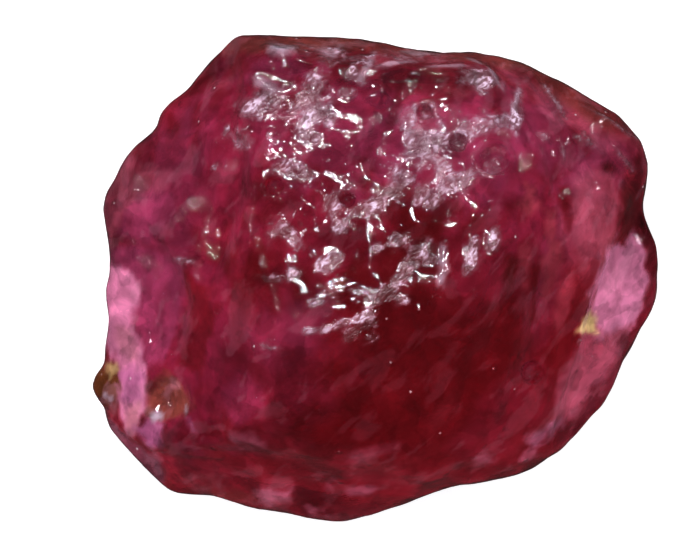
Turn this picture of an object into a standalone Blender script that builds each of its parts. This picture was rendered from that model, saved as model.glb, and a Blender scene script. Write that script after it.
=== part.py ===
"""A raw ruby crystal: one water-worn, etched piece of corundum that lies on its flat parting face.

The stone is shaped in millimetres, with +Z up, and turned into metres at the end. A dense sphere is
moved, point by point, onto the stone's form: an outline seen from above, a crown of worn crystal faces
over it and a keel of worn faces under it. Ledges, hollows, pits, grooves, striations and lumps are
then sunk into the skin, and a plane cuts the face that the stone rests on.
"""

from math import cos, pi, radians, sin, tan

import bmesh
import bpy
import numpy as np
from mathutils import Vector, noise

MM = 0.001
STONE_NAME = "ruby_crystal"

# Driving dimensions, in millimetres.
STONE_LENGTH = 12.0  # along X, the nub left out
OUTLINE_LENGTH = 12.0  # what OUTLINE below measures along X, so that a new STONE_LENGTH scales it all
CROWN_HEIGHT = 5.05  # the crown face above the resting face
KEEL_DEPTH = 0.15  # how far the keel reaches below the resting face before the cut

# Seen from above, counter-clockwise from the right-hand tip. A smooth closed curve joins the points.
OUTLINE = (
    (6.00, 0.62), (6.02, 0.09), (5.95, -0.52), (5.47, -1.40), (4.90, -2.48), (4.75, -2.78), (4.16, -3.44),
    (3.54, -3.94), (2.83, -4.26), (2.05, -4.40), (1.66, -4.42), (0.95, -4.67), (-0.21, -5.13), (-0.97, -5.23),
    (-2.17, -5.04), (-2.75, -4.96), (-3.38, -4.75), (-3.71, -4.68), (-4.44, -4.59), (-4.77, -4.38),
    (-5.34, -3.83), (-5.83, -3.25), (-5.97, -2.69), (-5.90, -2.28), (-5.97, -1.64), (-5.92, -1.25),
    (-5.86, -0.84), (-5.92, -0.24), (-5.85, 0.28), (-5.97, 1.25), (-6.00, 1.54), (-5.83, 2.03), (-5.35, 2.79),
    (-4.84, 3.22), (-4.75, 3.49), (-4.53, 3.75), (-4.14, 4.04), (-3.83, 4.42), (-3.23, 5.05), (-2.95, 5.22),
    (-2.09, 5.23), (-0.64, 5.13), (-0.45, 5.15), (0.33, 4.99), (1.38, 4.87), (2.05, 4.85), (2.25, 4.78),
    (2.44, 4.78), (2.83, 4.67), (3.58, 4.38), (3.97, 4.20), (4.75, 3.69), (5.13, 3.49), (5.56, 3.01),
    (5.77, 2.50), (5.76, 2.03), (5.66, 1.54), (5.76, 1.16),
)
RIM_ROUNDNESS = 5.0  # the exponent of the superellipse that rounds the rim: higher is squarer

# Worn crystal faces: a point that the face passes through, its slope in degrees, and the way in which
# it falls, in degrees from +X. Each face of the keel rises that way instead.
CROWN_FACES = (
    ("crown", (0.3, 1.5, CROWN_HEIGHT), 9, 112),
    ("belly", (0.2, -1.3, 5.22), 16, -80),
    ("left_shoulder", (-2.9, 1.2, 4.70), 39, 178),
    ("upper_left", (-3.5, 3.5, 4.20), 42, 142),
    ("top_edge", (0.0, 4.50, 4.50), 62, 86),
    ("upper_right", (3.1, 3.5, 4.30), 38, 52),
    ("right", (4.1, 0.9, 4.20), 36, 3),
    ("right_scoop", (4.4, -1.2, 3.35), 40, -18),
    ("bottom_right", (2.7, -3.3, 3.75), 44, -58),
    ("bottom", (-1.0, -4.1, 3.80), 52, -93),
    ("bottom_left", (-3.9, -3.9, 3.10), 48, -118),
    ("left_lower", (-3.6, -1.9, 3.90), 38, 188),
)
KEEL_FACES = (
    ("under", (0.2, 0.1, -KEEL_DEPTH), 0, 0),
    ("under_left", (-3.9, 0.4, 0.0), 13, 176),
    ("under_lower_left", (-3.4, -2.8, 0.0), 18, 220),
    ("under_bottom", (-0.6, -3.7, 0.0), 27, -97),
    ("under_lower_right", (3.1, -3.0, 0.0), 22, -48),
    ("under_right", (4.1, 0.1, 0.0), 12, -4),
    ("under_upper_right", (3.5, 2.8, 0.0), 28, 50),
    ("under_top", (0.1, 3.6, 0.0), 38, 91),
    ("under_upper_left", (-3.4, 3.0, 0.0), 22, 140),
)
EDGE_WEAR = 0.10  # how far wear rounds the edges between those faces

# Ledges on the crown: a path, how far the skin drops to the left of it as it is walked, and the reach
# over which the skin climbs back.
LEDGES = (
    ("left_ledge", ((-3.34, 0.37), (-2.90, 1.60), (-2.75, 2.46), (-3.06, 3.10), (-2.95, 3.97), (-3.10, 4.90)),
     0.30, 1.6),
    ("pink_border", ((-4.74, -1.42), (-4.20, -1.15), (-3.98, -0.45), (-4.26, 0.24), (-4.61, 0.72)),
     0.28, 1.0),
    ("lower_border", ((-1.72, -3.70), (-3.01, -3.56), (-3.98, -3.60), (-4.95, -3.62), (-5.55, -3.30)),
     0.22, 1.2),
    ("right_seam", ((5.20, 1.30), (4.82, 0.45), (4.52, -0.40), (4.31, -1.10), (4.10, -2.10), (3.75, -3.00)),
     0.34, 1.3),
    ("crown_step", ((0.10, 4.15), (-0.05, 3.40), (-0.30, 2.80), (-0.20, 2.20), (0.45, 1.95)),
     0.16, 0.8),
    ("upper_right_step", ((2.25, 4.70), (2.90, 3.85), (3.35, 2.75), (3.55, 1.95)),
     0.20, 1.0),
)
LEDGE_WALL = 0.09  # how wide a ledge's wall is, seen from above

# Hollows and pits of the crown: centre, radius across X, radius across Y, turn in degrees, depth.
HOLLOWS = (
    ("top_pocket", (0.80, 4.06), 0.80, 0.38, -4, 0.28),
    ("pocket_end", (1.75, 3.98), 0.62, 0.32, -12, 0.20),
    ("smooth_bowl", (-2.00, 4.28), 0.72, 0.42, -10, 0.20),
    ("red_bowl", (0.10, 3.55), 0.50, 0.40, 20, 0.14),
    ("brown_chip", (-4.50, -2.55), 0.50, 0.55, 0, 0.34),
    ("centre_dip", (-1.10, 0.60), 0.95, 0.60, 30, 0.07),
    ("lower_dip", (0.75, 0.55), 0.90, 0.55, 15, 0.07),
    ("belly_dip", (1.90, -2.30), 1.10, 0.60, 60, 0.14),
    ("left_dip", (-4.60, 2.20), 0.80, 0.65, 40, 0.09),
    ("pit_north", (0.93, 3.49), 0.24, 0.24, 0, 0.14),
    ("pit_middle", (1.62, 2.82), 0.27, 0.24, 0, 0.18),
    ("pit_east", (2.38, 2.42), 0.36, 0.30, 10, 0.20),
    ("pit_far_east", (2.48, 3.26), 0.20, 0.18, 0, 0.12),
    ("pit_ring", (-0.71, 1.66), 0.24, 0.24, 0, 0.14),
    ("pit_west", (-2.22, 1.92), 0.28, 0.26, 0, 0.15),
    ("pit_bubble", (4.49, -1.45), 0.34, 0.30, 0, 0.15),
    ("pit_low", (3.15, -1.95), 0.30, 0.26, 0, 0.14),
)
PIT_LIP = 0.18  # how high a hollow's lip stands, as a share of its depth

# Grooves of the crown, and ridges where the depth is negative: path, half width, depth.
GROOVES = (
    ("long_groove", ((-1.74, 1.46), (-1.66, 1.06), (-1.40, 0.47)), 0.13, 0.14),
    ("cross_groove", ((-2.55, 1.16), (-1.87, 1.36)), 0.12, 0.12),
    ("bright_channel", ((1.36, 0.72), (1.28, -0.15)), 0.14, 0.10),
    ("east_ridge", ((1.80, 1.10), (2.34, 1.46)), 0.13, -0.12),
    ("north_ridge", ((0.09, 4.62), (1.08, 4.66), (2.05, 4.52), (2.42, 4.16)), 0.16, -0.12),
    ("belly_groove", ((2.90, 0.20), (2.20, -1.40), (1.30, -3.20)), 0.26, 0.10),
    ("side_groove", ((3.90, 0.60), (3.30, -1.10), (2.60, -2.90)), 0.24, 0.12),
    ("corner_groove", ((3.30, 4.00), (4.10, 2.90), (4.60, 2.10)), 0.18, 0.12),
    ("corner_ridge", ((3.90, 4.00), (4.70, 3.20), (5.20, 2.50)), 0.16, -0.10),
    ("dark_notch", ((5.30, 2.05), (5.62, 1.50), (5.35, 0.95)), 0.22, 0.22),
)

# Scoops all over the sides and the underside: the way out from the stone's middle, as degrees round
# from +X and degrees up, then the radius and the depth.
SCOOPS = (
    (-150, -22, 1.00, 0.22), (-118, -30, 0.80, 0.18), (-90, -14, 0.70, 0.16), (-62, -28, 1.10, 0.24),
    (-35, -12, 0.60, 0.14), (-8, -24, 0.90, 0.20), (22, -16, 0.80, 0.20), (48, -30, 1.00, 0.22),
    (70, -6, 0.60, 0.14), (95, -26, 1.20, 0.26), (120, -4, 0.70, 0.16), (142, -28, 0.90, 0.20),
    (168, -18, 0.70, 0.16), (205, -6, 0.60, 0.14), (-75, 4, 0.50, 0.12), (60, 8, 0.60, 0.14),
    (-105, 6, 0.60, 0.12), (10, -34, 0.50, 0.12), (-135, -44, 0.60, 0.14), (110, -46, 0.70, 0.14),
)

# Striations: the middle of the striped patch, its reach, the way that the stripes run, the distance
# between two stripes and their height.
STRIATIONS = (
    ("belly", (2.6, -1.6), 2.6, -66, 0.55, 0.070),
    ("upper_right", (4.0, 3.0), 1.7, -52, 0.42, 0.060),
    ("lower_left", (-3.3, -4.1), 1.5, -4, 0.34, 0.045),
)

# Lumps all over the skin, and smaller ones on top of them: how wide and how tall.
LUMP_SIZE = 1.3
LUMP_HEIGHT = 0.13
GRAIN_SIZE = 0.75
GRAIN_HEIGHT = 0.05

# A small iron-stained nub stands out of the left-hand rim.
NUB_PLACE = (-5.93, -2.30)
NUB_RADIUS = 0.52
NUB_REACH = 0.34

SPHERE_LEVEL = 7  # 81,920 triangles, before they are thinned
KEPT_SHARE = 0.112  # of those triangles, chosen where the form bends most
RUBY_COLOUR = (0.36, 0.012, 0.045, 1.0)


def turned(x, y, angle):
    """x and y in axes that are turned by that many degrees."""
    c, s = cos(radians(angle)), sin(radians(angle))
    return x * c + y * s, y * c - x * s


def closed_curve(points, steps=12):
    """Points along the smooth closed curve that passes through the given ones."""
    p = np.array(points, float)
    before, after, beyond = np.roll(p, 1, 0), np.roll(p, -1, 0), np.roll(p, -2, 0)
    t = (np.arange(steps) / steps)[None, :, None]
    a, b, c, d = (q[:, None, :] for q in (before, p, after, beyond))
    curve = b + 0.5 * t * (c - a + t * (2 * a - 5 * b + 4 * c - d + t * (3 * (b - c) + d - a)))
    return curve.reshape(-1, 2)


def outline_radius(angle):
    """How far the outline lies from the middle, in the direction of each angle."""
    curve = closed_curve(OUTLINE)
    around = np.arctan2(curve[:, 1], curve[:, 0])
    order = np.argsort(around)
    return np.interp(angle, around[order], np.hypot(*curve[order].T), period=2 * pi)


def face_heights(faces, x, y, sign):
    """The height of each face's plane over x and y. Its slope falls with sign -1 and rises with +1."""
    heights = []
    for _, (px, py, pz), slope, way in faces:
        run, _ = turned(x - px, y - py, way)
        heights.append(pz + sign * tan(radians(slope)) * run)
    return np.array(heights)


def soft_least(heights):
    """The lowest of the heights, with the edges between them worn round."""
    lowest = heights.min(axis=0)
    return lowest - EDGE_WEAR * np.log(np.exp((lowest - heights) / EDGE_WEAR).sum(axis=0))


def crown(x, y):
    return soft_least(face_heights(CROWN_FACES, x, y, -1))


def keel(x, y):
    return -soft_least(-face_heights(KEEL_FACES, x, y, 1))


def rim_profile(latitude):
    """How far out and how far up a point lies, as shares, so that points are evenly spaced over the form."""
    turn = np.linspace(0, pi / 2, 2001)
    out = np.sin(turn) ** (2 / RIM_ROUNDNESS)
    up = np.cos(turn) ** (2 / RIM_ROUNDNESS)
    steps = np.hypot(np.diff(out), 0.25 * np.diff(up))
    along = np.concatenate([[0], np.cumsum(steps)])
    wanted = (1 - np.abs(latitude) / (pi / 2)) * along[-1]
    return np.interp(wanted, along, out), np.interp(wanted, along, up)


def form(directions):
    """The stone's bare form: each direction from the middle of the sphere gives one point of the skin."""
    angle = np.arctan2(directions[:, 1], directions[:, 0])
    latitude = np.arcsin(np.clip(directions[:, 2], -1, 1))
    radius = outline_radius(angle)
    out, up = rim_profile(latitude)
    rim_x, rim_y = radius * np.cos(angle), radius * np.sin(angle)
    rim_z = 0.5 * (crown(rim_x, rim_y) + keel(rim_x, rim_y))
    x, y = rim_x * out, rim_y * out
    skin = np.where(latitude > 0, crown(x, y), keel(x, y))
    return np.stack([x, y, rim_z + (skin - rim_z) * up], axis=1)


def from_path(x, y, path):
    """Each point's distance from the path, its side (+1 on the left) and its fade past the path's ends."""
    best, nearest = np.full(len(x), np.inf), np.zeros(len(x))
    side, past = np.ones(len(x)), np.zeros(len(x))
    last = len(path) - 2
    for i, ((ax, ay), (bx, by)) in enumerate(zip(path, path[1:])):
        length = np.hypot(bx - ax, by - ay)
        ux, uy = (bx - ax) / length, (by - ay) / length
        along = (x - ax) * ux + (y - ay) * uy
        off = ux * (y - ay) - uy * (x - ax)
        over = np.maximum(-along, 0) + np.maximum(along - length, 0)
        gap = np.hypot(over, off)
        # At a corner both stretches are equally near, and the one that the point is abreast of counts.
        closer = gap - 1e-4 * np.abs(off) < best
        at_end = ((along < 0) & (i == 0)) | ((along > length) & (i == last))
        best = np.where(closer, gap - 1e-4 * np.abs(off), best)
        nearest = np.where(closer, gap, nearest)
        side = np.where(closer, np.sign(off), side)
        past = np.where(closer, over * at_end, past)
    return nearest, side, np.exp(-((past / 0.35) ** 2))


def ledges(x, y):
    """A steep wall on the path, and a slope that climbs back over the reach."""
    height = np.zeros(len(x))
    for _, path, drop, reach in LEDGES:
        gap, side, fade = from_path(x, y, path)
        wall = 1 / (1 + np.exp(-gap * side / (0.35 * LEDGE_WALL)))
        height -= drop * wall * np.exp(-((gap / reach) ** 2)) * fade
    return height


def hollows(x, y):
    """Bowls with a low lip."""
    height = np.zeros(len(x))
    for _, (cx, cy), across, along, turn, depth in HOLLOWS:
        u, v = turned(x - cx, y - cy, turn)
        away = np.hypot(u / across, v / along)
        bowl = np.clip(1 - away**2, 0, None) ** 1.3
        lip = np.exp(-(((away - 1.1) / 0.22) ** 2))
        height += depth * (PIT_LIP * lip - bowl)
    return height


def grooves(x, y):
    height = np.zeros(len(x))
    for _, path, width, depth in GROOVES:
        gap, _, fade = from_path(x, y, path)
        height -= depth * np.exp(-((gap / width) ** 2)) * fade
    return height


def striations(x, y):
    """Stripes that wander, come and go inside their patch."""
    height = np.zeros(len(x))
    for _, (cx, cy), reach, way, pitch, tall in STRIATIONS:
        along, across = turned(x - cx, y - cy, way)
        patch = np.exp(-((np.hypot(along, across) / reach) ** 4))
        stripes = noise_at(np.stack([across / pitch, along / (5 * pitch), 0 * x], axis=1), 2)
        height += tall * patch * stripes
    return height


def noise_at(points, octaves):
    """Fractal noise, about -1 to 1, at each point."""
    return np.array([noise.fractal(Vector(p), 0.9, 2.0, octaves) for p in points])


def normals_of(bm):
    bm.normal_update()
    return np.array([v.normal for v in bm.verts])


def place(bm, points):
    for vertex, point in zip(bm.verts, points):
        vertex.co = point


def scoops(points):
    """How deep the scoops cut at each point. A scoop lies where its direction leaves the stone."""
    depth_at = np.zeros(len(points))
    middle = np.array([0.0, 0.0, CROWN_HEIGHT / 2])
    rays = points - middle
    rays /= np.linalg.norm(rays, axis=1)[:, None]
    for around, up, radius, depth in SCOOPS:
        a, e = radians(around), radians(up)
        way = np.array([cos(a) * cos(e), sin(a) * cos(e), sin(e)])
        centre = points[np.argmax(rays @ way)]
        away = np.linalg.norm(points - centre, axis=1) / radius
        depth_at += depth * np.clip(1 - away**2, 0, None) ** 1.2
    return depth_at


def sculpt(bm):
    """Moves the sphere's points onto the stone."""
    bare = form(np.array([v.co.normalized() for v in bm.verts]))
    place(bm, bare)
    normals = normals_of(bm)

    # The crown's relief is sunk straight down, so that the outline stays. It fades out towards the rim.
    x, y, z = bare.T
    on_crown = np.clip((normals[:, 2] - 0.25) / 0.35, 0, 1)
    relief = ledges(x, y) + hollows(x, y) + grooves(x, y) + striations(x, y)
    points = bare + np.stack([0 * x, 0 * y, relief * on_crown], axis=1)

    skin = LUMP_HEIGHT * noise_at(bare / LUMP_SIZE, 2) + GRAIN_HEIGHT * noise_at(bare / GRAIN_SIZE + 7.0, 1)
    skin *= 0.35 + 0.65 * np.abs(normals[:, 2])  # less on the rim, which keeps the outline
    above_cut = np.clip((z + 0.1) / 0.35, 0, 1)  # none where the resting face is cut
    points += normals * (above_cut * (skin - scoops(bare)))[:, None]

    nub_x, nub_y = NUB_PLACE
    nub_z = 0.5 * (crown(np.array([nub_x]), np.array([nub_y])) + keel(np.array([nub_x]), np.array([nub_y])))[0]
    away = np.linalg.norm(bare - np.array([nub_x, nub_y, nub_z]), axis=1) / NUB_RADIUS
    points[:, 0] -= NUB_REACH * np.clip(1 - away**2, 0, None) ** 1.5
    place(bm, points * STONE_LENGTH / OUTLINE_LENGTH)


def thinned(mesh):
    """The mesh with fewer triangles, and those where the form bends."""
    dense = bpy.data.objects.new("dense_stone", mesh)
    bpy.context.scene.collection.objects.link(dense)
    fewer = dense.modifiers.new("fewer_triangles", "DECIMATE")
    fewer.ratio = KEPT_SHARE
    fewer.use_collapse_triangulate = True
    graph = bpy.context.evaluated_depsgraph_get()
    kept = bpy.data.meshes.new_from_object(dense.evaluated_get(graph))
    bpy.data.objects.remove(dense)
    return kept


def cut_resting_face(bm):
    """Cuts the keel off at height zero and closes the cut with one flat face."""
    bmesh.ops.bisect_plane(
        bm,
        geom=bm.verts[:] + bm.edges[:] + bm.faces[:],
        dist=1e-5,
        plane_co=(0, 0, 0),
        plane_no=(0, 0, -1),
        clear_outer=True,
    )
    rim = [edge for edge in bm.edges if edge.is_boundary]
    for vertex in {v for edge in rim for v in edge.verts}:
        vertex.co.z = 0
    bmesh.ops.contextual_create(bm, geom=rim)


def centre_on_origin(bm):
    """Puts the origin under the middle of the stone's box."""
    points = np.array([v.co for v in bm.verts])
    middle = 0.5 * (points.min(axis=0) + points.max(axis=0))
    bmesh.ops.translate(bm, verts=bm.verts, vec=(-middle[0], -middle[1], 0))


def ruby_material():
    material = bpy.data.materials.new("ruby")
    material.use_nodes = True
    shader = material.node_tree.nodes["Principled BSDF"]
    shader.inputs["Base Color"].default_value = RUBY_COLOUR
    shader.inputs["Roughness"].default_value = 0.12
    shader.inputs["Metallic"].default_value = 0.0
    shader.inputs["IOR"].default_value = 1.77
    shader.inputs["Transmission Weight"].default_value = 0.8
    return material


def make_stone(collection):
    bm = bmesh.new()
    bmesh.ops.create_icosphere(bm, subdivisions=SPHERE_LEVEL, radius=1.0)
    sculpt(bm)
    mesh = bpy.data.meshes.new("dense_stone")
    bm.to_mesh(mesh)
    bm.free()
    kept = thinned(mesh)
    bpy.data.meshes.remove(mesh)

    bm = bmesh.new()
    bm.from_mesh(kept)
    cut_resting_face(bm)
    centre_on_origin(bm)
    bmesh.ops.scale(bm, verts=bm.verts, vec=(MM, MM, MM))
    bmesh.ops.recalc_face_normals(bm, faces=bm.faces)
    bm.to_mesh(kept)
    bm.free()

    stone = bpy.data.objects.new(STONE_NAME, kept)
    kept.name = STONE_NAME
    kept.materials.clear()
    kept.materials.append(ruby_material())
    kept.shade_smooth()
    kept.set_sharp_from_angle(angle=radians(35))
    collection.objects.link(stone)
    return stone


def main():
    for old in list(bpy.data.objects):
        bpy.data.objects.remove(old)
    collection = bpy.data.collections.new("raw_ruby_crystal")
    bpy.context.scene.collection.children.link(collection)
    make_stone(collection)


main()
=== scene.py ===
"""The looks of the raw ruby crystal: its etched skin, its see-through red body, and a pale studio.

The skin is a fine, smooth copy of the CAD solid, pushed in and out into pits, ridges and wrinkles.
Its colours and finishes are worked out point by point and stored on the mesh, where the ruby's
material reads them.
"""

from math import cos, radians, sin

import bpy
import numpy as np
from mathutils import Matrix, Vector, noise

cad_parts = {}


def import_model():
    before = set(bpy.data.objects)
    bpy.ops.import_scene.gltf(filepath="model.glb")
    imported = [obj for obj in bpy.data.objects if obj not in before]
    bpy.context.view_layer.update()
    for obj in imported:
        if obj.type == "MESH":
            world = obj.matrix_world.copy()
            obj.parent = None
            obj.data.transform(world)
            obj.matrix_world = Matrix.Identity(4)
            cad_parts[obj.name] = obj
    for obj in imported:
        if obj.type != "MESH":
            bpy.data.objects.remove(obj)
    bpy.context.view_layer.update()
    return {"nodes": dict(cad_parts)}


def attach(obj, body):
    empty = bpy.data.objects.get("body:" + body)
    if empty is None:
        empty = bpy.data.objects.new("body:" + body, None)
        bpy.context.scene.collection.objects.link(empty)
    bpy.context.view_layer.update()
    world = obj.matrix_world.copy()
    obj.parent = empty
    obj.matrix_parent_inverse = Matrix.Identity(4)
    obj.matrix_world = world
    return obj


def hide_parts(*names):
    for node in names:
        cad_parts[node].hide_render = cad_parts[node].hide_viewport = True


MM = 0.001
STONE_NODE = "ruby_crystal"

# Lengths below are in millimetres and turns in degrees. Places are counted from the middle of the
# stone's plan, which lies here in the frame.
PLAN_MIDDLE = (0.108, 0.007)

SKIN_STEP = 0.066  # the distance between two points of the skin
FACET_SMOOTHING = 16  # passes that round the CAD solid's triangles away

# Etch pits: centre, radius, depth.
PITS = (
    ((0.93, 3.49), 0.19, 0.070), ((2.48, 3.28), 0.15, 0.060), ((1.62, 2.85), 0.22, 0.080),
    ((2.36, 2.47), 0.34, 0.110), ((0.60, 2.93), 0.18, 0.035), ((0.62, 3.95), 0.10, 0.040),
    ((0.08, 3.75), 0.12, 0.045), ((-0.71, 1.66), 0.19, 0.060), ((-2.22, 1.93), 0.22, 0.070),
    ((-2.10, 1.70), 0.10, 0.040), ((-1.48, 1.38), 0.14, 0.045), ((4.49, -1.40), 0.28, 0.080),
    ((3.18, -1.96), 0.25, 0.060), ((4.84, 2.35), 0.09, 0.040), ((-2.95, 2.95), 0.10, 0.040),
    ((-3.20, 3.15), 0.08, 0.030), ((1.95, 2.10), 0.13, 0.040), ((2.70, 2.90), 0.08, 0.030),
    ((0.20, 2.30), 0.12, 0.040), ((-0.15, 2.75), 0.10, 0.035), ((-1.10, 2.60), 0.13, 0.040),
    ((-1.85, 3.10), 0.09, 0.035), ((1.10, 1.75), 0.12, 0.040), ((-0.40, 0.55), 0.11, 0.035),
    ((0.95, -0.55), 0.10, 0.030), ((2.75, -1.62), 0.07, 0.030), ((2.92, -1.58), 0.06, 0.030),
    ((-1.70, -3.05), 0.12, 0.030), ((0.55, -2.75), 0.11, 0.025), ((-3.40, -0.60), 0.12, 0.030),
    ((4.30, 3.05), 0.08, 0.030), ((3.60, 1.80), 0.10, 0.030), ((-4.20, 1.10), 0.11, 0.030),
)
BOWL_POWER = 0.8  # how a pit's wall falls: lower is steeper at the rim
LIP_SHARE = 0.60  # how high a pit's lip stands, as a share of its depth
LIP_PLACE = 1.10  # where the lip is highest, in the pit's radii
LIP_WIDTH = 0.20  # how wide the lip is, in the pit's radii

# Thin ridges and steps in the skin that catch the light: path, half width, height.
RIDGES = (
    (((-2.34, 4.89), (-2.04, 4.78), (-1.78, 4.89)), 0.12, 0.110),
    (((-2.69, 4.22), (-2.37, 4.05), (-2.02, 3.92)), 0.14, 0.024),
    (((-1.87, 3.94), (-1.50, 4.09), (-1.05, 4.20)), 0.11, 0.034),
    (((-2.71, 3.23), (-2.45, 3.17), (-2.22, 3.21)), 0.07, 0.028),
    (((-2.37, 2.48), (-2.11, 2.52), (-1.89, 2.61)), 0.08, 0.030),
    (((-2.82, 2.13), (-2.73, 1.96), (-2.54, 1.88)), 0.07, 0.028),
    (((-1.18, 2.18), (-0.97, 2.05), (-0.75, 1.96)), 0.07, 0.028),
    (((-0.84, 1.79), (-0.53, 1.85), (-0.19, 1.79)), 0.08, 0.030),
    (((-0.88, 1.29), (-1.01, 1.47), (-0.97, 1.64), (-0.81, 1.79)), 0.09, 0.034),
    (((-2.43, 1.23), (-2.04, 1.31), (-1.87, 1.40)), 0.08, 0.030),
    (((-1.74, 1.36), (-1.66, 1.10), (-1.55, 0.73), (-1.42, 0.47)), 0.07, 0.034),
    (((-1.57, 0.99), (-1.25, 0.97)), 0.08, 0.034),
    (((-2.60, 0.06), (-2.39, 0.00)), 0.07, 0.028),
    (((-2.19, 0.06), (-1.98, 0.06)), 0.07, 0.028),
    (((-1.53, -0.73), (-1.38, -0.69)), 0.07, 0.028),
    (((-1.74, -0.34), (-1.48, -0.26)), 0.07, 0.028),
    (((1.64, 1.85), (1.77, 1.98), (1.97, 2.00)), 0.07, 0.030),
    (((1.86, 1.10), (2.03, 1.29), (2.31, 1.47)), 0.08, 0.032),
    (((1.32, 0.73), (1.30, 0.30), (1.21, -0.13)), 0.10, 0.060),
    (((0.50, 0.13), (0.76, 0.17), (1.06, 0.06)), 0.07, 0.028),
    (((0.37, 0.69), (0.65, 0.80), (1.00, 0.93)), 0.07, 0.026),
    (((1.73, 0.50), (1.79, 0.71), (1.90, 0.86)), 0.07, 0.030),
    (((2.57, 0.78), (2.76, 0.84)), 0.07, 0.028),
    (((0.44, 4.78), (0.76, 4.85), (1.28, 4.72)), 0.08, 0.045),
    (((0.03, 4.48), (0.24, 4.57), (0.52, 4.48)), 0.08, 0.040),
    (((0.95, 4.44), (1.41, 4.48), (1.75, 4.46)), 0.07, 0.034),
    (((1.75, 4.72), (1.99, 4.61), (2.18, 4.50)), 0.07, 0.036),
    (((2.25, 4.46), (2.38, 4.25), (2.55, 4.01)), 0.08, 0.040),
    (((0.52, 3.94), (0.65, 4.03), (0.74, 3.86)), 0.08, 0.034),
    (((1.04, 3.62), (1.17, 3.45), (1.23, 3.28)), 0.09, 0.036),
    (((-0.02, 3.79), (0.18, 3.77)), 0.07, 0.030),
    (((2.87, 3.99), (2.83, 3.73), (2.74, 3.47)), 0.08, 0.040),
    (((1.81, 3.12), (2.05, 3.19), (2.31, 3.25), (2.61, 3.12)), 0.08, 0.034),
    (((-2.60, -1.42), (-2.35, -1.36), (-2.05, -1.50)), 0.08, 0.040),
    (((-4.40, 0.50), (-4.15, 0.36), (-3.85, 0.33)), 0.10, 0.055),
    (((3.24, 4.41), (3.46, 3.95), (3.69, 3.58), (3.88, 3.28)), 0.08, 0.040),
    (((3.42, 3.08), (3.60, 2.88)), 0.07, 0.050),
    (((3.75, 2.97), (3.84, 2.74), (3.80, 2.50)), 0.07, 0.040),
    (((4.42, 3.64), (4.66, 3.41), (5.16, 3.23), (5.50, 2.91)), 0.07, 0.035),
    (((4.27, 3.06), (4.47, 2.84), (4.70, 2.67)), 0.08, 0.050),
    (((4.94, 2.78), (5.16, 2.56), (5.37, 2.33)), 0.09, 0.055),
    (((-5.60, -3.25), (-5.00, -3.60), (-4.20, -3.72), (-3.40, -3.76)), 0.08, 0.045),
    (((-3.10, -3.34), (-2.60, -3.45)), 0.07, 0.035),
)
RIDGE_IN_FULL = 0.02  # from this height on, a ridge has all of its own finish

# Parts of the crown that etching has roughened: centre, radius along, radius across, turn.
PITTED = (
    ((0.10, 2.40), 2.70, 2.30, -10), ((0.40, 0.00), 1.90, 0.90, 35), ((-1.20, -1.30), 1.20, 0.40, 15),
    ((-1.40, -0.10), 0.90, 0.50, -30),
)
PITTED_SHARE = 0.40  # how rough they are, next to the frosted patches

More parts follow.
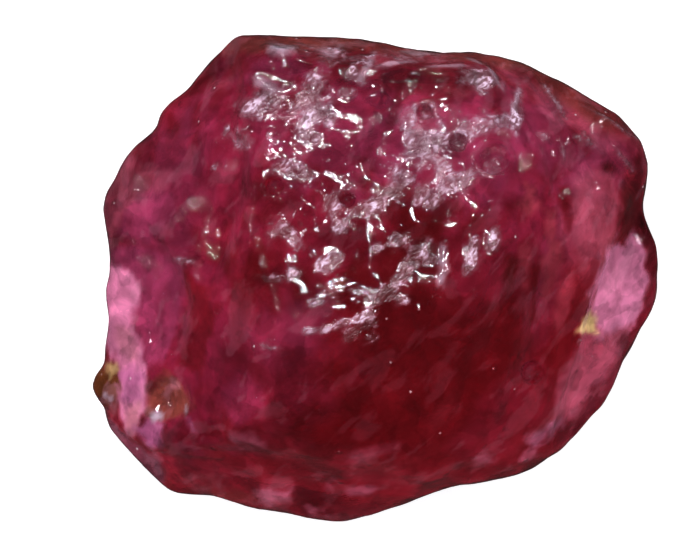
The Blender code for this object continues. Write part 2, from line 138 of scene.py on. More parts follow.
# Patches where the skin is wrinkled and frosted, most of them on the crown. The material also paints them
# lilac-white, whitest on their crests:
# partly the frost's own white, partly a painted sheen. The thinnest ones are painted glints. Centre, radius
# along, radius across, turn.
FROSTED_AND_SHEEN = (
    ((-2.75, 3.60), 0.26, 0.20, 0), ((-2.25, 3.72), 0.42, 0.24, -35), ((-1.40, 3.86), 0.38, 0.32, 70),
    ((-1.75, 3.60), 0.26, 0.20, 0), ((-1.20, 3.55), 0.26, 0.18, 10), ((-1.55, 3.22), 0.44, 0.20, 25),
    ((-1.05, 3.30), 0.20, 0.14, 40), ((-1.00, 4.72), 0.48, 0.18, -10), ((-0.45, 4.45), 0.40, 0.20, 50),
    ((-0.70, 3.90), 0.16, 0.12, 0), ((-2.88, 2.95), 0.20, 0.24, 0), ((-2.05, 2.30), 0.32, 0.16, 15),
    ((-1.62, 2.22), 0.28, 0.16, -20), ((0.72, 3.10), 0.40, 0.26, 110), ((0.95, 2.70), 0.40, 0.34, 40),
    ((1.30, 2.95), 0.30, 0.22, 0), ((1.20, 2.40), 0.30, 0.20, -30), ((1.75, 3.02), 0.36, 0.20, 30),
    ((2.25, 3.18), 0.40, 0.18, 15), ((0.98, 3.52), 0.26, 0.16, 60), ((2.86, 3.55), 0.44, 0.12, 80),
    ((0.42, 2.05), 0.28, 0.22, 80), ((0.30, 1.78), 0.26, 0.20, 40), ((-0.10, 1.52), 0.42, 0.16, 35),
    ((0.88, 1.75), 0.26, 0.20, -20), ((1.10, 1.62), 0.18, 0.14, 30), ((1.40, 2.00), 0.28, 0.22, 20),
    ((1.75, 2.10), 0.28, 0.16, 40), ((2.30, 2.32), 0.24, 0.14, 30), ((-0.98, 1.55), 0.28, 0.20, 90),
    ((-0.85, 1.12), 0.24, 0.16, 30), ((-0.55, 1.35), 0.16, 0.12, 0), ((-2.05, 1.02), 0.22, 0.16, 0),
    ((-1.78, 0.82), 0.24, 0.14, -35), ((-1.12, 0.35), 0.28, 0.14, 35), ((0.80, 0.62), 0.26, 0.22, 40),
    ((0.62, 0.32), 0.30, 0.16, 50), ((0.36, 0.80), 0.24, 0.12, 20), ((1.00, 0.42), 0.18, 0.14, 0),
    ((1.92, 0.72), 0.20, 0.10, 80), ((1.86, 0.36), 0.20, 0.10, 70), ((0.35, -0.02), 0.22, 0.14, 45),
    ((0.10, -0.32), 0.28, 0.16, 40), ((0.42, -0.44), 0.16, 0.12, 20), ((-0.30, -0.86), 0.26, 0.16, 30),
    ((-0.62, -1.14), 0.22, 0.14, 20), ((-0.22, -1.20), 0.18, 0.10, 10), ((0.80, 4.68), 0.56, 0.12, -3),
    ((2.10, 4.20), 0.38, 0.20, -15), ((-2.06, 4.84), 0.24, 0.08, 0), ((3.40, 3.00), 0.16, 0.10, -40),
    ((4.20, 2.95), 0.16, 0.08, -50), ((2.32, 0.82), 0.26, 0.12, 80), ((-1.80, 0.10), 0.16, 0.12, 30),
    ((-1.32, -0.48), 0.18, 0.09, 30), ((-0.48, -0.26), 0.20, 0.09, 0), ((-2.35, 0.02), 0.24, 0.07, -8),
    ((-1.40, 2.95), 0.18, 0.12, 20), ((-0.10, 0.65), 0.16, 0.09, 10), ((4.26, -1.28), 0.12, 0.05, 20),
    ((-4.15, 0.38), 0.26, 0.05, -12), ((5.16, 2.55), 0.26, 0.05, -50), ((4.38, 2.90), 0.14, 0.05, -40),
    ((3.82, 2.70), 0.16, 0.04, -80), ((-3.51, 2.35), 0.10, 0.05, 30), ((-3.23, 3.15), 0.10, 0.04, 60),
    ((-1.05, -1.02), 0.20, 0.08, 15), ((-1.45, -1.08), 0.13, 0.07, 0), ((-0.75, -0.92), 0.18, 0.08, 20),
    ((-2.32, -1.40), 0.26, 0.05, -10), ((3.75, 3.70), 0.50, 0.03, -58), ((5.00, 3.28), 0.50, 0.03, -30),
)
PATCH_REACH = 1.5  # an oval has faded out this many radii from its middle, and starts one radius nearer
WRINKLE_REACH = 2.1  # the same for the wrinkles around a frosted patch
PATCH_RAGGEDNESS = 0.4  # how far an oval's edge strays, in its radii

# The finest relief: how wide each kind is, how tall it stands, and how it is turned.
LUMP_SIZE = 0.47
LUMP_HEIGHT = 0.036
LUMP_TURN = 15
LUMP_LEAST = 0.35  # the share of the lumps' height on plain skin, where etching hasn't been at work
CELL_SIZE = 0.36
CELL_HEIGHT = 0.030
CELL_LEAST = 0.10  # the same for the cells
CELL_MIDDLE = 0.6  # lifts the cells by about their mean depth, so that they don't sink the skin
CELL_RIM = 0.75  # how far a cell reaches from its middle, as a share of CELL_SIZE
GRAIN_SIZE = (0.24, 0.14, 0.14)
GRAIN_HEIGHT = 0.016
GRAIN_TURN = 38
GRAIN_SHARES = (0.2, 0.4, 0.4)  # the share of the grain's height on plain skin, and what pits and frost add
CRINKLE_SPAN = 0.07  # from the bottoms of all that relief to its crests
REST_FADE = 0.2  # all relief fades out over this height above the resting face

# How edges stray: how wide the waves are that move every edge, and the frays of the frosted patches.
WANDER_SIZE = 0.5
FRAY_SIZE = 0.22
FRAYING = 1.3  # how strongly both move a frosted patch's edge, next to a plain one's waves

# The upward part of the skin's normal where skin starts to count as level, or as steep, and how much
# that part changes until the skin counts as fully so.
LEVEL = (0.2, 0.4)
STEEP = (0.80, -0.35)
STEEP_POLISH = 0.75  # how polished steep skin is, next to level skin

# Colours of the cloudy share of the stone, which is the share that doesn't let light straight through.
WINE = (0.64, 0.028, 0.062)
CRIMSON = (0.54, 0.028, 0.10)
MAGENTA = (0.60, 0.070, 0.20)
ROSE = (0.86, 0.17, 0.29)
PINK = (0.90, 0.26, 0.46)
ORCHID = (0.72, 0.18, 0.42)
SALMON = (0.92, 0.30, 0.38)
SCARLET = (0.95, 0.11, 0.18)
PLUM = (0.21, 0.045, 0.075)
DARK = (0.16, 0.012, 0.018)
BROWN = (0.26, 0.056, 0.040)
UMBER = (0.40, 0.090, 0.060)
RUST = (0.17, 0.042, 0.012)
OCHRE = (0.84, 0.50, 0.22)
STRAW = (1.00, 0.66, 0.28)
# Painted highlights, partly the white of frost.
FROST_AND_GLINT = (0.86, 0.70, 0.86)

BODY_CLOUD = 0.04  # how cloudy plain, level skin is
SLOPE_CLOUD = 0.15  # how much cloudier steep skin is

# Tinted places with soft edges, laid over one another in this order: colour, cloudiness, then for each
# place its centre, radius along, radius across, turn and share.
TINTS = (
    (CRIMSON, 0.32, (
        ((-3.30, 2.40), 2.40, 1.20, 65, 0.80), ((-4.10, -1.20), 2.00, 1.10, 95, 0.80),
        ((-2.60, -1.80), 1.80, 1.40, 40, 0.60), ((-1.40, 1.10), 1.30, 0.90, 0, 0.60),
        ((2.20, 0.60), 1.20, 0.80, 50, 0.50), ((-1.40, -4.30), 2.40, 0.30, 0, 0.10),
        ((2.60, -2.90), 1.20, 0.60, 40, 0.35), ((3.00, 2.30), 1.20, 1.40, 0, 0.60),
        ((3.10, 0.50), 0.40, 1.20, -12, 0.35), ((0.40, 3.40), 2.60, 1.20, -5, 0.50),
    )),
    (MAGENTA, 0.45, (
        ((-4.60, 1.50), 2.10, 0.85, 75, 0.52), ((-3.00, -2.60), 0.60, 0.35, 40, 0.40),
        ((-1.90, -1.00), 1.10, 0.50, 40, 0.40), ((-0.90, 3.00), 1.60, 1.10, 0, 0.60),
        ((1.40, 2.60), 1.70, 1.10, -15, 0.60), ((-2.10, 4.40), 0.70, 0.35, 5, 0.60),
        ((3.60, 2.90), 1.70, 0.60, -40, 0.60), ((4.90, 2.60), 0.60, 0.50, 0, 0.60),
        ((-3.80, -4.00), 0.90, 0.30, -8, 0.30), ((3.70, 0.40), 2.20, 0.35, 75, 0.40),
    )),
    (ROSE, 0.52, (
        ((-5.75, 1.60), 1.10, 0.26, 75, 0.50), ((4.60, -2.00), 1.30, 0.50, 62, 0.30),
        ((4.40, 1.20), 1.20, 0.55, 85, 0.35), ((-0.20, -3.65), 0.50, 0.14, 15, 0.35),
        ((-0.40, -4.50), 0.30, 0.10, 10, 0.60), ((3.80, 3.60), 1.30, 0.25, -38, 0.50),
    )),
    # Painted highlights along the top ledge and the top of the crown, partly frost.
    (FROST_AND_GLINT, 0.70, (
        ((-2.06, 4.86), 0.24, 0.06, 0, 0.70), ((0.80, 4.79), 0.44, 0.05, -4, 0.75),
        ((0.27, 4.53), 0.26, 0.05, 8, 0.60), ((1.35, 4.47), 0.40, 0.04, 2, 0.50),
        ((1.98, 4.62), 0.22, 0.04, -28, 0.60), ((2.40, 4.24), 0.28, 0.05, -58, 0.60),
        ((-1.15, 4.78), 0.24, 0.14, -20, 0.50), ((-0.30, 4.42), 0.30, 0.07, 60, 0.55),
        ((2.85, 3.75), 0.26, 0.05, 80, 0.50),
    )),
    # Painted shade in the notch on the right, in a pit and in the top pocket, and two darker strokes on the
    # crown.
    (DARK, 0.30, (
        ((5.35, 1.60), 0.60, 0.26, 80, 0.90), ((4.83, 2.35), 0.18, 0.18, 0, 0.90),
        ((1.00, 4.15), 1.20, 0.26, -3, 0.65), ((0.28, 3.55), 0.50, 0.10, 75, 0.60),
        ((2.70, 3.60), 0.50, 0.25, -40, 0.40),
    )),
    (BROWN, 0.50, (
        ((-1.90, 5.02), 1.50, 0.24, 3, 0.80), ((0.50, 4.88), 1.60, 0.18, -5, 0.70),
        ((2.40, 4.72), 0.90, 0.20, -8, 0.70), ((3.90, 4.00), 1.60, 0.28, -35, 0.70),
        ((-3.90, -4.40), 1.40, 0.22, -12, 0.50), ((4.80, 0.70), 0.25, 0.45, 10, 0.30),
    )),
    (RUST, 0.75, (
        ((-5.96, -2.28), 0.40, 0.46, 0, 1.00),
    )),
    # A pale yellow mark on the nub, partly a painted glint.
    (OCHRE, 0.60, (
        ((-5.62, -1.90), 0.12, 0.08, 30, 0.80),
    )),
)

# Places with a crisp edge, such as the faces round the rim, laid over those in this order: colour,
# cloudiness, share, outline.
FACETS = (
    # The faces of the left edge.
    (MAGENTA, 0.46, 0.80, (
        (-5.81, 0.69), (-5.17, 0.72), (-4.52, 0.54), (-4.18, 0.17), (-4.13, -0.47), (-4.26, -0.99),
        (-4.52, -1.53), (-4.95, -2.00), (-5.43, -2.28), (-5.77, -1.75), (-6.10, -0.45),
    )),
    (PINK, 0.80, 0.94, (
        (-6.10, 0.25), (-5.60, 0.28), (-5.28, 0.10), (-5.18, -0.55), (-5.30, -1.10), (-5.05, -1.60),
        (-4.92, -2.20), (-4.95, -2.82), (-5.43, -3.40), (-5.70, -3.04), (-5.66, -1.90), (-5.86, -1.50),
        (-6.10, -1.10),
    )),
    (ORCHID, 0.62, 0.75, (
        (-5.66, -2.00), (-5.38, -1.79), (-5.00, -2.07), (-5.10, -2.56), (-5.32, -2.72), (-5.66, -2.56),
    )),
    (SALMON, 0.66, 0.70, ((-5.60, -3.15), (-5.38, -2.72), (-5.10, -2.65), (-5.17, -3.15), (-5.32, -3.36))),
    (SALMON, 0.66, 0.45, ((-5.66, -1.55), (-5.60, -1.05), (-5.40, -1.10), (-5.20, -1.65), (-5.38, -1.79))),
    (ORCHID, 0.60, 0.85, ((-5.25, -3.20), (-4.97, -2.95), (-4.60, -3.10), (-4.72, -3.50), (-5.00, -3.62))),
    (PLUM, 0.42, 0.70, ((-4.72, -3.50), (-4.60, -3.08), (-4.26, -3.08), (-4.35, -3.58))),
    # The iron-stained chip at the lower left.
    (UMBER, 0.52, 0.92, (
        (-5.05, -2.92), (-5.00, -2.40), (-4.92, -2.07), (-4.53, -2.04), (-4.27, -2.24), (-4.01, -2.63),
        (-3.95, -2.82), (-4.27, -3.05), (-4.83, -2.98),
    )),
    (DARK, 0.36, 0.85, ((-4.99, -2.07), (-4.63, -2.04), (-4.66, -2.33), (-4.89, -2.46), (-4.99, -2.40))),
    (SALMON, 0.50, 0.80, ((-4.68, -2.48), (-4.44, -2.18), (-4.34, -2.26), (-4.56, -2.56))),
    (ORCHID, 0.60, 0.90, ((-4.16, -2.92), (-3.98, -2.86), (-3.88, -3.24), (-4.00, -3.22))),
    # Two painted highlights on the chip.
    (FROST_AND_GLINT, 0.60, 0.80, ((-4.88, -2.94), (-4.72, -2.93), (-4.70, -2.98), (-4.86, -3.00))),
    (FROST_AND_GLINT, 0.60, 0.80, ((-4.16, -2.80), (-4.06, -2.74), (-4.02, -2.84), (-4.12, -2.90))),
    # The nub and the rim under it.
    (PLUM, 0.55, 0.95, (
        (-6.05, -2.90), (-5.66, -3.04), (-5.20, -3.52), (-4.75, -3.75), (-4.55, -4.20), (-4.80, -4.70),
        (-5.90, -3.70),
    )),
    # A pale yellow patch on the nub, partly a painted glint.
    (STRAW, 0.75, 1.00, ((-5.86, -1.86), (-5.66, -1.80), (-5.67, -2.08), (-5.82, -2.12))),
    (SALMON, 0.60, 0.70, ((-5.88, -2.70), (-5.66, -2.62), (-5.60, -3.00), (-5.80, -3.02))),
    # A painted glint on the nub.
    (FROST_AND_GLINT, 0.70, 0.90, ((-5.92, -2.54), (-5.76, -2.52), (-5.72, -2.66), (-5.88, -2.70))),
    # The upper left faces.
    (ROSE, 0.50, 0.55, (
        (-5.62, 1.40), (-5.62, 1.72), (-5.17, 2.20), (-4.33, 2.33), (-4.52, 2.00), (-5.17, 1.47),
    )),
    (MAGENTA, 0.46, 0.70, (
        (-5.69, 0.95), (-5.49, 1.47), (-4.91, 1.88), (-4.39, 1.81), (-4.39, 1.34), (-4.97, 0.75),
    )),
    # The faces of the right edge.
    (PINK, 0.68, 1.00, (
        (5.46, 1.08), (4.68, 0.36), (4.55, -0.03), (4.42, -0.81), (4.70, -1.30), (5.10, -1.25),
        (5.52, -0.86), (5.65, -0.34), (5.72, 0.63),
    )),
    (ROSE, 0.49, 0.64, (
        (4.42, -0.81), (4.23, -1.20), (3.90, -1.85), (3.71, -2.37), (3.64, -2.90), (3.90, -3.15),
        (4.16, -2.89), (4.81, -2.18), (5.20, -1.47), (5.30, -1.05), (4.80, -1.10),
    )),
    (PINK, 0.55, 0.75, (
        (3.17, -3.47), (3.26, -3.25), (3.56, -3.00), (3.88, -3.00), (3.82, -3.21), (3.56, -3.47),
        (3.28, -3.62),
    )),
    (ROSE, 0.50, 0.70, ((2.98, -3.86), (3.06, -3.69), (3.34, -3.69), (3.24, -3.86))),
    (ROSE, 0.42, 0.52, (
        (4.02, 2.13), (4.43, 2.31), (4.92, 2.13), (5.05, 1.60), (5.00, 1.10), (4.68, 0.52), (4.20, 0.30),
        (4.06, 0.84),
    )),
    # Light and dark upright columns to the right of the crown.
    (SCARLET, 0.34, 0.80, ((2.90, 1.55), (3.02, 1.94), (3.28, 1.90), (3.34, 1.45), (3.10, 1.40))),
    (SCARLET, 0.30, 0.75, ((3.45, 1.48), (3.66, 1.42), (3.68, 0.80), (3.48, 0.66))),
    (SCARLET, 0.26, 0.75, ((2.88, 0.60), (3.10, 0.62), (3.12, -0.20), (2.90, -0.26))),
    (SCARLET, 0.32, 0.75, (
        (3.34, 0.30), (3.60, 0.78), (3.84, 0.74), (3.76, 0.20), (3.56, -0.44), (3.34, -0.42),
    )),
    (SCARLET, 0.28, 0.70, ((3.80, -0.10), (4.05, 0.10), (4.00, -0.70), (3.74, -1.20), (3.62, -0.80))),
    (WINE, 0.05, 0.85, ((2.62, 0.50), (2.78, 0.50), (2.80, -0.80), (2.60, -0.90))),
    (WINE, 0.05, 0.80, ((3.16, 0.20), (3.32, 0.26), (3.30, -0.90), (3.14, -0.90))),
    (WINE, 0.05, 0.80, ((3.72, 1.95), (3.94, 1.90), (3.98, 1.05), (3.80, 0.90))),
    # Pale faces along the lower rim.
    (ROSE, 0.50, 0.85, (
        (-2.63, -4.44), (-2.26, -4.29), (-1.89, -4.38), (-1.94, -4.76), (-2.32, -4.83), (-2.58, -4.70),
    )),
    (ROSE, 0.46, 0.80, ((-3.10, -3.28), (-2.88, -3.24), (-2.42, -3.42), (-2.50, -3.54), (-3.00, -3.42))),
    (ROSE, 0.46, 0.80, ((-1.20, -4.26), (-1.00, -4.28), (-1.02, -4.50), (-1.18, -4.46))),
    (ROSE, 0.42, 0.75, ((-0.70, -4.46), (-0.40, -4.40), (-0.12, -4.46), (-0.18, -4.60), (-0.62, -4.60))),
    (ROSE, 0.42, 0.75, ((2.00, -3.78), (2.20, -3.70), (2.40, -3.80), (2.34, -3.94), (2.06, -3.92))),
    (SALMON, 0.26, 0.60, ((-4.25, -4.20), (-3.25, -4.14), (-3.20, -4.26), (-4.20, -4.34))),
    (SALMON, 0.26, 0.60, ((-4.05, -4.42), (-3.30, -4.38), (-3.35, -4.50), (-4.00, -4.54))),
    # Painted highlights on the crown, partly frost: a bright bar and two bars at the top left.
    (FROST_AND_GLINT, 0.80, 0.80, (
        (1.22, 0.72), (1.39, 0.72), (1.34, 0.20), (1.30, -0.14), (1.18, -0.14), (1.24, 0.20),
    )),
    (FROST_AND_GLINT, 0.80, 0.75, (
        (-2.36, 4.86), (-2.20, 4.90), (-1.80, 4.88), (-1.80, 4.76), (-2.10, 4.72), (-2.30, 4.76),
    )),
    (FROST_AND_GLINT, 0.80, 0.60, (
        (-2.69, 4.28), (-2.55, 4.20), (-2.30, 4.08), (-1.96, 4.00), (-2.00, 3.90), (-2.35, 3.92),
        (-2.60, 4.10),
    )),
    # The lowest face of the rim.
    (ROSE, 0.50, 0.85, ((-1.55, -4.83), (-1.12, -4.87), (-1.16, -5.02), (-1.46, -5.00))),
    # The yellow stain on the right.
    (STRAW, 0.80, 1.00, ((4.18, -1.12), (4.28, -0.84), (4.46, -0.64), (4.66, -0.80), (4.60, -1.14))),
    # Dark places on the left.
    (WINE, 0.10, 0.75, (
        (-4.10, 0.10), (-3.70, -0.20), (-3.50, -1.20), (-3.80, -2.00), (-4.30, -1.80), (-4.15, -1.20),
        (-4.05, -0.40),
    )),
    (WINE, 0.24, 0.75, (
        (-4.75, -3.72), (-3.38, -3.79), (-1.72, -4.08), (-1.94, -4.44), (-3.44, -4.59), (-4.55, -4.40),
    )),
)
FACET_EDGE = 0.16  # how far a facet's colour takes to fade out
FACET_RAGGEDNESS = 0.16  # how far a facet's edge strays

# The ruby's material: what it is painted with, and its other values.
# The lilac is painted on the frosted patches: partly the frost's own white, partly a painted sheen.
LILAC = (1.00, 0.76, 0.96, 1)
# The white that is painted on the specks as tiny glints.
GLINT_DOT_WHITE = (1.00, 0.74, 0.80, 1)
PALE_STREAK = (0.95, 0.42, 0.56, 1)
RUBY_IOR = 1.77
GLOSS_ROUGHNESS = 0.05
FROST_ROUGHNESS = 0.36
RIDGE_ROUGHNESS = 0.15
UNDERSIDE_ROUGHNESS = 0.5
FROST_AND_SHEEN_CLOUD = 0.92
STREAK_CLOUD = 0.45
BUMP_HEIGHT = 0.03
ABSORPTION_COLOUR = (0.75, 0.35, 0.45, 1)
ABSORPTION_DENSITY = 1000.0  # to the metre

# Fractal noise: how fast its finer octaves weaken, and how much finer each is than the one before.
OCTAVE_FADE = 0.9
OCTAVE_RATIO = 2.0

# Turns the noise's own grid so that it never lies along the stone's faces.
OBLIQUE = np.array(Matrix.Rotation(radians(40), 3, Vector((1, 2, 3))))
OBLIQUE_TILT = (0.3, 0.2)  # the same for the material's noise, about X and Y, in radians

# Softboxes that face the stone: name, azimuth from +X, tilt from straight up, distance, width, power in
# watts, colour.
LIGHTS = (
    ("key_light", 110, 24, 150, 3, 0.070, (1.0, 0.86, 0.96)),
    ("top_light", 98, 82, 150, 4, 0.025, (1.0, 0.90, 0.94)),
    ("left_light", 174, 60, 150, 2, 0.004, (1.0, 0.70, 0.80)),
    ("right_light", 35, 72, 150, 3, 0.008, (1.0, 0.72, 0.80)),
)
SKY_COLOUR = (0.95, 0.96, 1.0, 1)
SKY_STRENGTH = 0.8
FLOOR_COLOUR = (0.9, 0.9, 0.9, 1)
FLOOR_GLOW = 0.6
FLOOR_DROP = 0.02  # how far the floor lies under the resting face
MIRRORED_STRENGTH = 0.02  # how bright the sky and the floor are in the stone's gloss

# Camera: straight above, image up is +Y.
CAMERA_LENS = 200.0
SENSOR_WIDTH = 36.0
IMAGE_WIDTH = 700
PIXELS_PER_MM = 46.4  # at the height of the rim
RIM_HEIGHT = 2.0
AIM = (-0.534, 0.201)  # what it looks down on, counted from the frame's origin
CLIP_START = 5
CLIP_END = 10000


def turned(x, y, angle):
    """The same places, counted along axes that are turned by the angle."""
    c, s = cos(radians(angle)), sin(radians(angle))
    return x * c + y * s, y * c - x * s


def ramp(values, start, span):
    """0 up to the start, and then straight up to 1, which it reaches a span further on."""
    return np.clip((values - start) / span, 0, 1)


def noise_at(points, size, octaves, turn=0.0):
    """Fractal noise, about -1 to 1. Its blotches have this size along, across and up, turned about Z."""
    along, across = turned(points[:, 0], points[:, 1], turn)
    spots = np.column_stack([along, across, points[:, 2]]) / size @ OBLIQUE
    return np.array([noise.fractal(Vector(spot), OCTAVE_FADE, OCTAVE_RATIO, octaves) for spot in spots])


def cells_at(points, size):
    """Round pits side by side: 0 at their rims and -1 in their middles."""
    nearest = np.array([noise.voronoi(Vector(spot))[0][0] for spot in points / size @ OBLIQUE])
    return np.clip((nearest / CELL_RIM) ** 2, 0, 1) - 1


def stone_copy(node):
    """The CAD solid as a fine, smooth mesh in millimetres."""
    mesh = node.data.copy()
    mesh.transform(Matrix.Scale(1 / MM, 4))
    rough = bpy.data.objects.new("rough_copy", mesh)
    bpy.context.scene.collection.objects.link(rough)
    voxels = rough.modifiers.new("even_skin", "REMESH")
    voxels.mode = "VOXEL"
    voxels.voxel_size = SKIN_STEP
    voxels.use_smooth_shade = True
    soften = rough.modifiers.new("no_facets", "SMOOTH")
    soften.factor = 0.5
    soften.iterations = FACET_SMOOTHING
    graph = bpy.context.evaluated_depsgraph_get()
    fine = bpy.data.meshes.new_from_object(rough.evaluated_get(graph))
    bpy.data.objects.remove(rough)
    bpy.data.meshes.remove(mesh)
    return fine


def read_vectors(collection, name):
    """One vector of every item in the collection, as the rows of an array."""
    flat = np.empty(len(collection) * 3, np.float32)
    collection.foreach_get(name, flat)
    return flat.reshape(-1, 3).astype(float)


def from_path(x, y, path):
    """Each point's distance from the path."""
    nearest = np.full(len(x), np.inf)
    for (ax, ay), (bx, by) in zip(path, path[1:]):
        length = np.hypot(bx - ax, by - ay)
        ux, uy = (bx - ax) / length, (by - ay) / length
        along = np.clip((x - ax) * ux + (y - ay) * uy, 0, length)
        nearest = np.minimum(nearest, np.hypot(x - ax - along * ux, y - ay - along * uy))
    return nearest


def oval_share(x, y, oval, wander, reach=PATCH_REACH):
    """1 in the middle of an oval, falling to 0 over a ragged edge."""
    (cx, cy), along, across, turn = oval
    u, v = turned(x - cx, y - cy, turn)
    near = np.clip(reach - np.hypot(u / along, v / across) - PATCH_RAGGEDNESS * wander, 0, 1)
    return near * near * (3 - 2 * near)


def most_of(x, y, ovals, wander, reach=PATCH_REACH):
    """1 inside any of the ovals, 0 outside them all."""
    return np.max([oval_share(x, y, oval, wander, reach) for oval in ovals], axis=0)


def facet_share(x, y, outline, wander):
    """1 inside the closed outline, 0 outside it."""
    inside = np.zeros(len(x), bool)
    closed = outline + outline[:1]
    for (ax, ay), (bx, by) in zip(closed, closed[1:]):
        if ay != by:
            inside ^= ((ay > y) != (by > y)) & (x < ax + (bx - ax) * (y - ay) / (by - ay))
    depth = np.where(inside, 1, -1) * from_path(x, y, closed)
    return np.clip(0.5 + (depth + FACET_RAGGEDNESS * wander) / FACET_EDGE, 0, 1)


def laid_over(colour, cloud, paint, thickness, share):
    """The colour and the cloudiness, moved by the share towards the paint and its thickness."""
    colour = colour + share[:, None] * (np.array(paint) - colour)
    cloud = cloud + share * (thickness - cloud)
    return colour, cloud


def tints(x, y, steep, wander):
    """The colour and the cloudiness at each point."""
    colour = np.tile(WINE, (len(x), 1))
    cloud = BODY_CLOUD + SLOPE_CLOUD * steep
    for paint, thickness, places in TINTS:
        for *oval, most in places:
            share = most * oval_share(x, y, oval, wander)
            colour, cloud = laid_over(colour, cloud, paint, thickness, share)
    for paint, thickness, most, outline in FACETS:
        share = most * facet_share(x, y, outline, wander)
        colour, cloud = laid_over(colour, cloud, paint, thickness, share)
    return colour, cloud


def pits(x, y):
    """The height of the etch pits, with their raised lips."""
    height = np.zeros(len(x))
    for (cx, cy), radius, depth in PITS:
        away = np.hypot(x - cx, y - cy) / radius
        bowl = np.clip(1 - away**2, 0, None) ** BOWL_POWER
        lip = np.exp(-(((away - LIP_PLACE) / LIP_WIDTH) ** 2))
        height += depth * (LIP_SHARE * lip - bowl)
    return height


def ridges(x, y):
    """The height of the thin ridges."""
    height = np.zeros(len(x))
    for path, width, tall in RIDGES:
        height += tall * np.exp(-((from_path(x, y, path) / width) ** 2))
    return height


def crinkles(points, pitted, frosted_and_sheen):
    """The height of the lumps, cells and grain, which stand taller where etching has been at work."""
    lumps = LUMP_HEIGHT * noise_at(points, LUMP_SIZE, octaves=2, turn=LUMP_TURN)
    lumps *= LUMP_LEAST + (1 - LUMP_LEAST) * pitted
    cells = CELL_HEIGHT * (cells_at(points, CELL_SIZE) + CELL_MIDDLE)
    cells *= CELL_LEAST + (1 - CELL_LEAST) * pitted
    least, by_pits, by_frost = GRAIN_SHARES
    grain = GRAIN_HEIGHT * noise_at(points, GRAIN_SIZE, octaves=2, turn=GRAIN_TURN)
    grain *= least + by_pits * pitted + by_frost * frosted_and_sheen
    return lumps + cells + grain


def store(mesh, name, values):
    """Keeps a number, or a colour, for every point of the mesh."""
    if values.ndim == 1:
        attribute = mesh.attributes.new(name, "FLOAT", "POINT")
        attribute.data.foreach_set("value", values.astype(np.float32))
        return
    attribute = mesh.attributes.new(name, "FLOAT_COLOR", "POINT")
    opaque = np.column_stack([values, np.ones(len(values))])
    attribute.data.foreach_set("color", opaque.astype(np.float32).ravel())


def sculpt(mesh):
    """Pushes the skin in and out along its normals, and stores what its material needs."""
    points = read_vectors(mesh.vertices, "co")
    normals = read_vectors(mesh.vertices, "normal")
    x, y = points[:, 0] - PLAN_MIDDLE[0], points[:, 1] - PLAN_MIDDLE[1]
    level = ramp(normals[:, 2], *LEVEL)
    steep = ramp(np.abs(normals[:, 2]), *STEEP)
    wander = noise_at(points, WANDER_SIZE, octaves=3)
    ragged = FRAYING * wander + FRAYING * noise_at(points, FRAY_SIZE, octaves=2)
    # The frosted patches, which the material also paints with a lilac-white sheen.
    frosted_and_sheen = most_of(x, y, FROSTED_AND_SHEEN, ragged) * level
    wrinkled = most_of(x, y, FROSTED_AND_SHEEN, ragged, WRINKLE_REACH)
    pitted = np.maximum(PITTED_SHARE * most_of(x, y, PITTED, wander), wrinkled) * level
    raised = ridges(x, y)
    crinkle = crinkles(points, pitted, frosted_and_sheen)
    relief = crinkle + (pits(x, y) + raised) * level
    points += normals * (relief * ramp(points[:, 2], 0, REST_FADE))[:, None]
    mesh.vertices.foreach_set("co", (points * MM).astype(np.float32).ravel())
    colour, cloud = tints(x, y, steep, wander)
    store(mesh, "tint", colour)
    store(mesh, "cloud", cloud)
    store(mesh, "frosted_and_sheen", frosted_and_sheen)
    # The crests, where the painted sheen on the frosted patches is whitest.
    store(mesh, "crest", np.clip(0.5 + crinkle / CRINKLE_SPAN, 0, 1))
    store(mesh, "polish", np.maximum(level, STEEP_POLISH * steep))
    store(mesh, "edge", ramp(raised, 0, RIDGE_IN_FULL))
    mesh.update()


def make_stone(frame):
    """The stone's skin, where the frame has the CAD solid."""
    mesh = stone_copy(frame["nodes"][STONE_NODE])
    sculpt(mesh)
    mesh.name = "ruby_skin"
    stone = bpy.data.objects.new("ruby_skin", mesh)
    bpy.context.scene.collection.objects.link(stone)
    mesh.materials.clear()
    mesh.materials.append(ruby_material())
    return stone


def set_inputs(node, values):
    """Sets the node's sockets of these names."""
    for name, value in values.items():
        node.inputs[name].default_value = value


